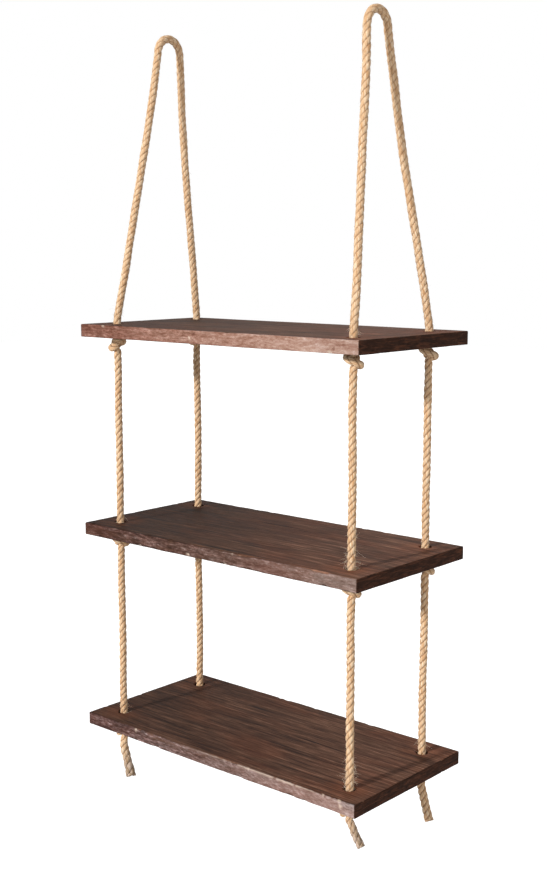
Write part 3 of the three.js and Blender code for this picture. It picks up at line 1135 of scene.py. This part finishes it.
def add_face(board, top, rim, mouths, draw):
    def from_holes(x, y):
        return min(hypot(x - cx, y - cy) for cx, cy in HOLES)

    known = list(rim)
    borders = [(k, (k + 1) % len(rim)) for k in range(len(rim))]
    for first in mouths:
        base = len(known)
        known.extend(range(first, first + HOLE_POINTS))
        borders.extend((base + k, base + (k + 1) % HOLE_POINTS) for k in range(HOLE_POINTS))
    flat = [Vector(board.vertices[index][:2]) for index in known]
    inner_x = HALF_LENGTH - RIM_INSETS[0] - FACE_MARGIN
    inner_y = HALF_DEPTH - RIM_INSETS[0] - FACE_MARGIN
    for x in np.arange(-inner_x, inner_x + 0.1, FACE_STEP):
        for y in np.arange(-inner_y, inner_y + 0.1, FACE_STEP):
            px = x + draw.uniform(-FACE_JITTER, FACE_JITTER)
            py = y + draw.uniform(-FACE_JITTER, FACE_JITTER)
            if from_holes(px, py) > HOLE_MARGIN:
                flat.append(Vector((px, py)))
    points, _, triangles, origins, _, _ = geometry.delaunay_2d_cdt(flat, borders, [], 0, 1e-6)
    place = []
    for point, origin in zip(points, origins):
        if origin and origin[0] < len(known):
            place.append(known[origin[0]])
        else:
            dip = face_dip(board, *point)
            place.append(len(board.vertices))
            board.vertices.append((point.x, point.y, -dip if top else dip - THICKNESS))
            board.light.append(0.0)
    for triangle in triangles:
        a, b, c = (points[k] for k in triangle)
        if from_holes(*((a + b + c) / 3)) < HOLE_COVER:
            continue
        corners = [place[k] for k in triangle]
        if ((b - a).cross(c - a) > 0) != top:
            corners.reverse()
        board.faces.append(tuple(corners))


def new_board(look, seed):
    """What the mesh of a board is made from, with worn edges and four drilled holes."""
    board = SimpleNamespace(
        look=look, seed=seed, chips=board_chips(look, seed), vertices=[], faces=[], light=[])
    rims = add_edges(board)
    mouths = add_holes(board)
    draw = random.Random(seed + 5)
    for top in (True, False):
        add_face(board, top, rims[top], mouths[top], draw)
    return board


# What the wood's material reads. A span says how far inside the edge a look begins and is full,
# or between which heights or places it grows.
FRONT_SPAN = (2.2, 0.5)
REAR_SPAN = (2.4, 0.6)
END_SPAN = (1.5, 0.6)
CORNER_SPAN = (2.2, 1.4)
GREY_END_SPAN = (30, 14)
UPPER_SPAN = (-2.2, -0.9)
RIM_GROWS, RIM_ENDS = (-1.9, -1.0), (-0.45, -0.1)
PALE_GROWS, PALE_ENDS = (-70, -20), (150, 190)
RUB_SPAN = (9, 40)
FACE_ABOVE = -2  # what is above this belongs to the top face
SIDE_TONE = 0.74  # the tone of all but the top face


def between(ends, share):
    left, right = ends
    return left + (right - left) * share


def wood_values(board, look):
    x, y, z = np.array(board.vertices).T
    front = near_edge(-y, HALF_DEPTH, *FRONT_SPAN)
    rear = near_edge(y, HALF_DEPTH, *REAR_SPAN)
    end = near_edge(np.abs(x), HALF_LENGTH, *END_SPAN)
    slow = np.array([
        soft_noise(p[0] / 60, p[1] / 60, p[2] / 14, board.seed + 7) for p in board.vertices])
    along = x / BOARD_LENGTH + 0.5
    share = np.clip(along, 0, 1)

    wear = front * (between(look["wear"], along) + 0.35 * slow) + 0.4 * rear * (0.5 + slow)
    upper_line = smoothstep(z, *UPPER_SPAN) * front * smoothstep(slow, 0.0, 0.3)
    corner_line = near_edge(np.abs(x), HALF_LENGTH, *CORNER_SPAN) * front
    wear = np.clip(wear + 0.4 * corner_line + 0.35 * upper_line, 0, 1)

    above = (1 - front) * (z > FACE_ABOVE)
    # On the top face this is partly painted light: painted shade toward the left end, painted sheen
    # toward the right, and a lift for the low main light
    tone_and_painted_light = SIDE_TONE + (between(look["face"], share) - SIDE_TONE) * above
    tint = between(np.array(look["edge"]), share[:, None] ** 1.6)
    grey_end = look["grey_end"] * near_edge(x, HALF_LENGTH, *GREY_END_SPAN)
    rub = np.zeros(len(x))
    for corner, (cx, cy) in zip(CORNERS.values(), HOLES):
        away = np.hypot(x - cx, y - cy)
        rub = np.maximum(rub, corner["rub"] * (1 - smoothstep(away, *RUB_SPAN)))
    # A pale line in stretches along the upper rim of the front edge, which goes into the chip
    # colour
    rim = smoothstep(z, *RIM_GROWS) * (1 - smoothstep(z, *RIM_ENDS))
    stretch = smoothstep(x, *PALE_GROWS) * (1 - smoothstep(x, *PALE_ENDS))
    rim_light = look["pale_rim"] * rim * stretch * front * smoothstep(slow, -0.5, 0.1)
    return {
        "wear": wear * (1 - end), "end": end, "rub": rub * (z > FACE_ABOVE) * (1 - front),
        "tone_and_painted_light": tone_and_painted_light, "tint": tint, "grey": np.maximum(look["grey"] * share**2, grey_end),
        "pale": np.clip(between(look["pale"], along), 0, 1),
        "chip": np.maximum(board.light, rim_light),
    }


def make_board(tier, face, seed):
    look = LOOKS[tier]
    board = new_board(look, seed)
    made = new_object(
        f"{tier}_wooden_board", np.array(board.vertices) + (0, 0, face), board.faces, WOOD,
        wood_values(board, look))
    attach(made, f"{tier}_board")
    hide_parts(f"{tier}_board")


for index, (tier, face) in enumerate(TIERS.items()):
    make_board(tier, face, BOARD_SEED + BOARD_SEED_STEP * index)

# The studio: a floor, light from all round and two lamps

FLOOR_Z = -1.6
FLOOR_REACH = 14
FLOOR_COLOUR = (0.8, 0.8, 0.8, 1)
FLOOR_GLOW = 0.75  # lifts the floor to white where no shadow falls on it
WHITE = (1, 1, 1, 1)
WHITE_LEVEL = 1.0
AMBIENT = 0.32
LAMP_DISTANCE = 3

# The lights: strength, how wide it looks from the shelf, azimuth from the front, height
LIGHTS = {
    "main_light": (3.0, radians(4), radians(-8), radians(21)),
    "fill_light": (0.75, radians(50), radians(58), radians(8)),
}


def seen_directly(n):
    """1 for a camera, glossy or transmission ray, and 0 for the light that falls on things."""
    rays = n.add("ShaderNodeLightPath").outputs
    camera_or_glossy = n.math("MAXIMUM", rays["Is Camera Ray"], rays["Is Glossy Ray"])
    return n.math("MAXIMUM", camera_or_glossy, rays["Is Transmission Ray"])


def floor_material():
    material, n = new_material("pale_floor")
    n.tree.nodes.clear()
    strength = n.math("MULTIPLY", seen_directly(n), FLOOR_GLOW)
    glow = n.add("ShaderNodeEmission", {"Strength": strength})
    matt = n.add("ShaderNodeBsdfDiffuse", {"Color": FLOOR_COLOUR})
    both = n.add("ShaderNodeAddShader", {0: glow.outputs[0], 1: matt.outputs[0]})
    n.add("ShaderNodeOutputMaterial", {"Surface": both.outputs[0]})
    return material


def make_floor():
    mesh = bpy.data.meshes.new("floor")
    corners = [(-1, -1), (1, -1), (1, 1), (-1, 1)]
    mesh.from_pydata(
        [(x * FLOOR_REACH, y * FLOOR_REACH, FLOOR_Z) for x, y in corners], [], [(0, 1, 2, 3)])
    mesh.materials.append(floor_material())
    linked("floor", mesh)


def make_world():
    world = bpy.data.worlds.new("studio")
    bpy.context.scene.world = world
    world.use_nodes = True
    n = Nodes(world.node_tree)
    level = n.add("ShaderNodeMapRange", {
        "Value": seen_directly(n), "To Min": AMBIENT, "To Max": WHITE_LEVEL}).outputs["Result"]
    n.fill(n.tree.nodes["Background"], {"Color": WHITE, "Strength": level})


def make_lamps():
    for name, (strength, width, azimuth, height) in LIGHTS.items():
        data = bpy.data.lights.new(name, "SUN")
        data.energy = strength
        data.angle = width
        lamp = linked(name, data)
        lamp.location = direction(azimuth, height) * LAMP_DISTANCE
        turn_along(lamp, -direction(azimuth, height))


make_floor()
make_world()
make_lamps()
bpy.context.scene.view_settings.view_transform = "Standard"
